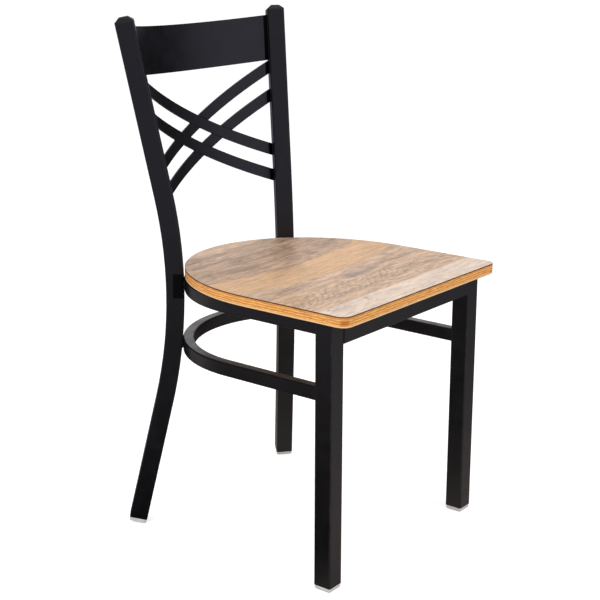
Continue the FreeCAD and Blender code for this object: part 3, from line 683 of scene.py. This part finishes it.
# moulded plastic of the caps, with dust on top
capFinish = {
    "dark": (0.008, 0.0078, 0.0085, 1),
    "light": (0.013, 0.0125, 0.0125, 1),
    "peel": 1700.0,
    "film": (0.075, 0.058, 0.05, 1),
    "filmAmount": 0.35,
    "roughness": (0.42, 0.55),
    "relief": (0.3, 0.0003),
}


def makeCapPlastic():
    material, tree, shader = newMaterial("capPlastic", {"Specular IOR Level": 0.5, "IOR": 1.5})
    place, normal = surface(tree)
    peel = useGroup(tree, orangePeel, {"Vector": place, "Size": capFinish["peel"]})
    dirt = useGroup(tree, dust, {"Vector": place, "Normal": normal})
    colour = mixColour(tree, peel["Mottle"], capFinish["dark"], capFinish["light"])
    film = calc(tree, "MULTIPLY", dirt["Film"], capFinish["filmAmount"])
    colour = mixColour(tree, film, colour, capFinish["film"])
    feed(tree, shader.inputs["Base Color"], colour)
    rough = span(tree, peel["Mottle"], 0, 1, *capFinish["roughness"], False)
    feed(tree, shader.inputs["Roughness"], rough)
    addBump(tree, shader, peel["Height"], *capFinish["relief"])
    return material


# zinc plated screws
zincFinish = {
    "dark": (0.5, 0.49, 0.46, 1),
    "light": (0.66, 0.65, 0.62, 1),
    "peel": 1100.0,
    "roughness": (0.26, 0.42),
    "relief": (0.1, 0.0002),
}


def makeZinc():
    material, tree, shader = newMaterial("zincPlate", {"Metallic": 1.0})
    place = surface(tree)[0]
    peel = useGroup(tree, orangePeel, {"Vector": place, "Size": zincFinish["peel"]})
    colour = mixColour(tree, peel["Mottle"], zincFinish["dark"], zincFinish["light"])
    feed(tree, shader.inputs["Base Color"], colour)
    rough = span(tree, peel["Height"], 0.3, 0.7, *zincFinish["roughness"], False)
    feed(tree, shader.inputs["Roughness"], rough)
    addBump(tree, shader, peel["Height"], *zincFinish["relief"])
    return material


def dress(names, material):
    for name in names:
        for slot in nodes[name].material_slots:
            slot.material = material


legs = [n for n in nodes if n.startswith("front_leg")]
uprights = [n for n in nodes if n.startswith("rear_upright")]
glides = [n for n in nodes if "glide" in n]
caps = [n for n in nodes if "_cap_" in n]
plates = [n for n in nodes if "slat" in n or n == "top_rail"]
others = ["seat_board", "seat_laminate", "seat_screws"]
lying = [n for n in nodes if n not in legs + uprights + glides + caps + plates + others]
zinc = makeZinc()
dress(legs, makePowderCoat("powderCoatLegs", 1.0))
dress(uprights, makePowderCoat("powderCoatUprights", 0.0, makePatchMark))
# the back plates carry painted shade where they meet the uprights
dress(plates, makePowderCoat("powderCoatBack", 0.0, makePaintedEndShade))
dress(lying, makePowderCoat("powderCoatFrame", 0.0))
dress(["seat_board"], makePlywood())
dress(["seat_laminate"], makeLaminate())
dress(["seat_screws"], zinc)
dress(glides, makeGlidePlastic())
dress(caps, makeCapPlastic())
print("materials given to", len(nodes), "nodes")


# edges that turn by more than this stay sharp; new pieces are drawn in millimetres
sharpAngle = math.radians(38)
mmInMetre = 1000


def finishPiece(name, shape, material):
    for face in shape.faces:
        face.smooth = True
    for edge in shape.edges:
        edge.smooth = edge.calc_face_angle(0) < sharpAngle
    mesh = bpy.data.meshes.new(name)
    shape.to_mesh(mesh)
    shape.free()
    mesh.materials.append(material)
    piece = bpy.data.objects.new(name, mesh)
    bpy.context.scene.collection.objects.link(piece)
    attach(piece, "root")
    return piece


# weld beads in millimetres, each from end to end; all but the crossings are repeated on the left
welds = {
    "plateRadius": 0.9,
    "tubeRadius": 1.5,
    "segments": 8,
    # share of the radius that is rounded off at the ends
    "rounding": 0.55,
    "lumps": 420.0,
    # front and back of the rail and the slats where they meet an upright
    "plateEnds": [
        ((166.9, 204.7, 832.3), (159.3, 194.5, 755.1)),
        ((168.9, 207.0, 831.9), (161.4, 196.8, 754.7)),
        ((159.2, 194.4, 754.3), (157.1, 191.5, 732.3)),
        ((161.0, 196.3, 754.7), (159.2, 193.8, 732.9)),
        ((154.4, 187.8, 705.3), (152.2, 184.8, 683.4)),
        ((156.5, 190.2, 705.9), (154.3, 187.3, 684.0)),
        ((144.7, 174.9, 610.4), (142.7, 172.1, 590.5)),
        ((146.7, 177.0, 609.0), (144.7, 174.3, 589.1)),
        ((140.2, 168.7, 566.0), (138.1, 165.9, 546.1)),
        ((142.2, 170.9, 564.6), (140.1, 168.1, 544.7)),
    ],
    # front of the crossings; the back is one plate thickness further
    "crossings": [
        ((-71.3, 205.7, 640.3), (-49.3, 207.7, 629.2)),
        ((-49.3, 211.6, 649.9), (-27.2, 212.1, 639.1)),
        ((-22.1, 216.8, 662.1), (0.0, 215.6, 651.6)),
        ((0.0, 219.5, 672.3), (22.1, 216.8, 662.1)),
        ((-22.1, 208.2, 615.9), (0.0, 206.9, 605.4)),
        ((0.0, 210.8, 626.1), (22.1, 208.2, 615.9)),
        ((27.2, 212.1, 639.1), (49.3, 207.7, 629.2)),
        ((49.3, 211.6, 649.9), (71.3, 205.7, 640.3)),
    ],
    "through": (0.0, 3.05, -0.6),
    # stretcher and seat hoop on the front legs, front rail on the legs, hoops on the uprights, tabs
    "tubes": [
        ((179.5, -190.0, 308.0), (179.5, -190.0, 323.0)),
        ((197.5, -190.0, 308.0), (197.5, -190.0, 323.0)),
        ((183.0, -190.0, 304.3), (194.0, -190.0, 304.3)),
        ((183.0, -190.0, 326.6), (194.0, -190.0, 326.6)),
        ((179.5, -190.0, 411.0), (179.5, -190.0, 426.0)),
        ((197.5, -190.0, 411.0), (197.5, -190.0, 426.0)),
        ((183.0, -190.0, 407.3), (194.0, -190.0, 407.3)),
        ((172.9, -218.0, 393.1), (172.9, -204.0, 393.1)),
        ((172.9, -201.2, 396.0), (172.9, -201.2, 426.5)),
        ((128.5, 146.6, 312.0), (128.2, 146.3, 325.0)),
        ((147.7, 129.0, 312.0), (147.4, 128.7, 325.0)),
        ((123.9, 143.9, 411.0), (123.9, 143.9, 426.0)),
        ((143.0, 126.4, 411.0), (143.0, 126.4, 426.0)),
        ((179.5, -161.5, 426.6), (179.5, -139.5, 426.6)),
        ((179.5, -49.5, 426.6), (179.5, -27.5, 426.6)),
    ],
}


def addBead(shape, ends, radius, side=1):
    start, end = (Vector((x * side, y, z)) / mmInMetre for x, y, z in ends)
    along = end - start
    place = Matrix.Translation((start + end) / 2) @ along.to_track_quat("Z", "Y").to_matrix().to_4x4()
    made = bmesh.ops.create_cone(
        shape,
        cap_ends=True,
        segments=welds["segments"],
        radius1=radius / mmInMetre,
        radius2=radius / mmInMetre,
        depth=along.length,
        matrix=place,
    )
    edges = {edge for point in made["verts"] for edge in point.link_edges}
    rims = [edge for edge in edges if any(len(face.verts) > 4 for face in edge.link_faces)]
    bmesh.ops.bevel(
        shape,
        geom=rims,
        offset=radius * welds["rounding"] / mmInMetre,
        segments=2,
        profile=0.5,
        affect="EDGES",
        material=-1,
    )


def makeBackWelds(material):
    shape = bmesh.new()
    for ends in welds["plateEnds"]:
        addBead(shape, ends, welds["plateRadius"])
        addBead(shape, ends, welds["plateRadius"], -1)
    for ends in welds["crossings"]:
        addBead(shape, ends, welds["plateRadius"])
        through = [tuple(a + b for a, b in zip(end, welds["through"])) for end in ends]
        addBead(shape, through, welds["plateRadius"])
    finishPiece("back_welds", shape, material)


def makeFrameWelds(material):
    shape = bmesh.new()
    for ends in welds["tubes"]:
        addBead(shape, ends, welds["tubeRadius"])
        addBead(shape, ends, welds["tubeRadius"], -1)
    finishPiece("frame_welds", shape, material)


weldCoat = makePowderCoat("powderCoatWelds", 0.0, None, welds["lumps"])
makeBackWelds(weldCoat)
makeFrameWelds(weldCoat)
print("welds laid")


# cross recessed screws under the seat, in millimetres; they stand for the plain ones
seatScrews = {
    "places": [(165.5, -150.6), (165.5, -38.6), (-165.5, -150.6), (-165.5, -38.6)],
    "underside": 424.0,
    # radius and height of each ring from the face of the head up the shank
    "rings": [(4.2, 0.15), (4.5, 0.8), (4.5, 2.6), (2.1, 2.6), (2.1, 16.0)],
    "tip": 17.6,
    "face": 3.7,
    "segments": 24,
    "recess": {"reach": 2.3, "depth": 1.5, "taper": 0.75},
}


def makeScrewShape():
    recess = seatScrews["recess"]
    shape = bmesh.new()
    bmesh.ops.create_grid(shape, x_segments=3, y_segments=3, size=recess["reach"])
    centres = {face: face.calc_center_median() for face in shape.faces}
    corners = [face for face, at in centres.items() if min(abs(at.x), abs(at.y)) > recess["reach"] / 2]
    bmesh.ops.delete(shape, geom=corners, context="FACES")
    lid = shape.faces[:]
    sunk = bmesh.ops.extrude_face_region(shape, geom=lid)["geom"]
    floor = [part for part in sunk if isinstance(part, bmesh.types.BMVert)]
    bmesh.ops.translate(shape, vec=(0, 0, recess["depth"]), verts=floor)
    bmesh.ops.scale(shape, vec=(recess["taper"], recess["taper"], 1), verts=floor)
    bmesh.ops.delete(shape, geom=[face for face in lid if face.is_valid], context="FACES")
    rim = [edge for edge in shape.edges if edge.is_boundary]
    bmesh.ops.subdivide_edges(shape, edges=rim, cuts=1)
    around = seatScrews["segments"]
    bmesh.ops.create_circle(shape, cap_ends=False, segments=around, radius=seatScrews["face"])
    loose = [edge for edge in shape.edges if edge.is_boundary or edge.is_wire]
    bmesh.ops.bridge_loops(shape, edges=loose)
    for radius, height in seatScrews["rings"]:
        rim = [edge for edge in shape.edges if edge.is_boundary]
        made = bmesh.ops.extrude_edge_only(shape, edges=rim)["geom"]
        ring = [part for part in made if isinstance(part, bmesh.types.BMVert)]
        grow = radius / ring[0].co.xy.length
        bmesh.ops.scale(shape, vec=(grow, grow, 1), verts=ring)
        bmesh.ops.translate(shape, vec=(0, 0, height - ring[0].co.z), verts=ring)
    bmesh.ops.pointmerge(shape, verts=ring, merge_co=(0, 0, seatScrews["tip"]))
    bmesh.ops.recalc_face_normals(shape, faces=shape.faces[:])
    return shape


def makeScrews(material):
    single = bpy.data.meshes.new("screw")
    made = makeScrewShape()
    made.to_mesh(single)
    made.free()
    shape = bmesh.new()
    for x, y in seatScrews["places"]:
        before = len(shape.verts)
        shape.from_mesh(single)
        shape.verts.ensure_lookup_table()
        bmesh.ops.translate(shape, vec=(x, y, seatScrews["underside"]), verts=shape.verts[before:])
    bmesh.ops.scale(shape, vec=[1 / mmInMetre] * 3, verts=shape.verts[:])
    bpy.data.meshes.remove(single)
    screws = finishPiece("cross_screws", shape, material)
    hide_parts("seat_screws")


makeScrews(zinc)
print("screws set")


# studio: white floor and sky to the eye; what the gloss mirrors is set by direction,
# and on the floor by place as well; metres
studio = {
    "floorSize": 30,
    "floorColour": (0.8, 0.8, 0.8, 1),
    "floorLift": 0.56,
    "ambient": 0.6,
    "floorLevel": 0.45,
    # direction, lowest cosine, level, and how far from the chair they start and are full
    "floorGlows": [((0.979, 0.202, 0), 0.4, -0.38)],
    "floorFrom": (0.2, 1.0),
    # shaded places on the floor, the last one lighter: centre, radius where full and ended, level
    "floorShades": [
        ((-0.64, 0.19, 0), 0.42, 0.62, -0.38),
        ((-0.93, -0.48, 0), 0.32, 0.56, -0.40),
        ((-0.72, 0.60, 0), 0.10, 0.40, -0.20),
        ((-0.10, 0.00, 0), 0.12, 0.32, -0.25),
        ((0.63, -0.83, 0), 0.10, 0.45, -0.08),
        ((-0.60, -1.02, 0), 0.08, 0.38, 0.22),
    ],
    # tint of the floor near the chair and far from it, and where the one turns into the other
    "nearTint": (1.05, 0.95, 0.88, 1),
    "farTint": (0.92, 0.92, 1.3, 1),
    "tintFrom": (1.4, 3.0),
    "skyLevel": 0.03,
    # direction, lowest cosine, level
    "skyGlows": [
        ((0.2, -0.95, 0.22), 0.66, 0.66),
        ((0.7, 0.6, 0.38), 0.70, 1.15),
        ((-0.8, -0.55, 0.25), 0.4, 0.32),
    ],
    # tint of the sky in front and at the rear, and where the one turns into the other
    "skyTint": (0.94, 0.95, 1.18, 1),
    "rearTint": (1.02, 1.0, 1.0, 1),
    "rearFrom": (-0.2, 0.3),
    # place, point it faces, size, watts
    "lamps": [
        ("keyLamp", (0.5, -2.6, 2.0), (0, 0, 0.5), 1.6, 30),
        ("sideLamp", (-2.7, -0.2, 1.5), (0, 0, 0.4), 1.6, 34),
        ("topLamp", (-0.3, 0.3, 2.9), (0, 0, 0.5), 1.8, 16),
    ],
}


def addGlows(tree, way, glows, level):
    for direction, low, amount in glows:
        toward = put(tree, "VectorMath", {"operation": "DOT_PRODUCT"}, {0: way, 1: direction})
        level = calc(tree, "ADD", level, span(tree, toward.outputs["Value"], low, 1.0, 0, amount))
    return level


def mixShader(tree, factor, first, second):
    return put(tree, "MixShader", None, {0: factor, 1: first, 2: second}).outputs[0]


def makeFloor():
    mesh = bpy.data.meshes.new("floor")
    shape = bmesh.new()
    bmesh.ops.create_grid(shape, x_segments=1, y_segments=1, size=studio["floorSize"])
    shape.to_mesh(mesh)
    shape.free()
    floor = bpy.data.objects.new("floor", mesh)
    bpy.context.scene.collection.objects.link(floor)
    material = bpy.data.materials.new("floor")
    material.use_nodes = True
    tree = material.node_tree
    tree.nodes.clear()
    path = put(tree, "LightPath").outputs
    matte = put(tree, "BsdfDiffuse", None, {"Color": studio["floorColour"]}).outputs[0]
    lift = put(tree, "Emission", None, {"Strength": studio["floorLift"]}).outputs[0]
    lifted = put(tree, "AddShader", None, {0: matte, 1: lift}).outputs[0]
    place = put(tree, "TexCoord").outputs["Object"]
    way = put(tree, "VectorMath", {"operation": "NORMALIZE"}, {0: place}).outputs[0]
    far = length(tree, place)
    glow = addGlows(tree, way, studio["floorGlows"], 0.0)
    glow = calc(tree, "MULTIPLY", glow, span(tree, far, *studio["floorFrom"]))
    glow = calc(tree, "ADD", glow, studio["floorLevel"])
    for centre, start, end, level in studio["floorShades"]:
        apart = put(tree, "VectorMath", {"operation": "DISTANCE"}, {0: place, 1: centre})
        glow = calc(tree, "ADD", glow, span(tree, apart.outputs["Value"], start, end, level, 0))
    glow = calc(tree, "MAXIMUM", glow, 0.0)
    distant = span(tree, far, *studio["tintFrom"])
    tint = mixColour(tree, distant, studio["nearTint"], studio["farTint"])
    gloss = put(tree, "Emission", None, {"Color": tint, "Strength": glow}).outputs[0]
    mirror = calc(tree, "MAXIMUM", path["Is Glossy Ray"], path["Is Transmission Ray"])
    seen = mixShader(tree, path["Is Camera Ray"], matte, lifted)
    output = tree.nodes.new("ShaderNodeOutputMaterial")
    tree.links.new(mixShader(tree, mirror, seen, gloss), output.inputs["Surface"])
    mesh.materials.append(material)


def makeSky():
    world = bpy.data.worlds.new("studio")
    bpy.context.scene.world = world
    world.use_nodes = True
    tree = world.node_tree
    tree.nodes.clear()
    path = put(tree, "LightPath").outputs
    way = put(tree, "TexCoord").outputs["Generated"]
    white = (1, 1, 1, 1)
    glow = addGlows(tree, way, studio["skyGlows"], studio["skyLevel"])
    soft = put(tree, "Background", None, {"Color": white, "Strength": studio["ambient"]}).outputs[0]
    rear = span(tree, split(tree, way)[1], *studio["rearFrom"])
    tint = mixColour(tree, rear, studio["skyTint"], studio["rearTint"])
    shine = put(tree, "Background", None, {"Color": tint, "Strength": glow}).outputs[0]
    plain = put(tree, "Background", None, {"Color": white, "Strength": 1.0}).outputs[0]
    mirror = calc(tree, "MAXIMUM", path["Is Glossy Ray"], path["Is Transmission Ray"])
    seen = mixShader(tree, mirror, soft, shine)
    output = tree.nodes.new("ShaderNodeOutputWorld")
    tree.links.new(mixShader(tree, path["Is Camera Ray"], seen, plain), output.inputs["Surface"])


def makeLamps():
    for name, place, target, size, power in studio["lamps"]:
        data = bpy.data.lights.new(name, "AREA")
        data.shape = "SQUARE"
        data.size = size
        data.energy = power
        lamp = bpy.data.objects.new(name, data)
        lamp.location = place
        lamp.rotation_euler = (Vector(place) - Vector(target)).to_track_quat("Z", "Y").to_euler()
        lamp.visible_glossy = False
        bpy.context.scene.collection.objects.link(lamp)


makeFloor()
makeSky()
makeLamps()
print("studio lit")
